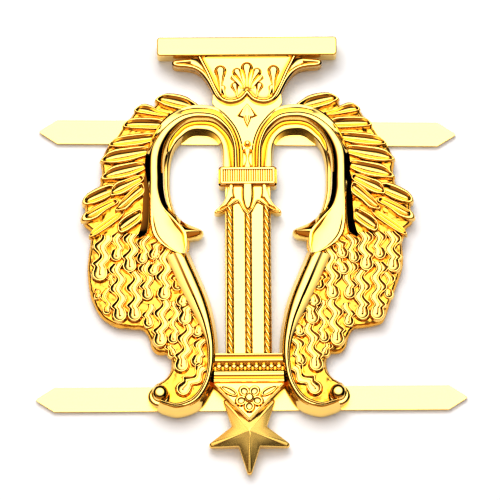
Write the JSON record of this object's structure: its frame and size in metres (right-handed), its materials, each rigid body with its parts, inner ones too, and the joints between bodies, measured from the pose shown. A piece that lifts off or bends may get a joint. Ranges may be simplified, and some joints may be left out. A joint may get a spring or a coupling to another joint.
{
  "type": "masonic jewel",
  "caption": "Gilt cast emblem of a winged lyre with a column, a beaded base and a star below, fixed by two flat strips whose pointed ends bend over behind cloth.",
  "frame": {"origin": "on the surface that the jewel lies on, under the column's axis at the middle of the casting's height", "axes": "+Z out of the front of the jewel, +Y towards the top bar, +X to the right seen from the front"},
  "size_m": [0.0685, 0.071, 0.0048],
  "materials": {
    "gilt_casting": "polished gold plate over a die casting",
    "gilt_strip": "pale gold plate over flat rolled strip"
  },
  "bodies": {
    "root": {"casting": "gilt_casting", "upper_strip": "gilt_strip", "lower_strip": "gilt_strip"}
  },
  "joints": []
}
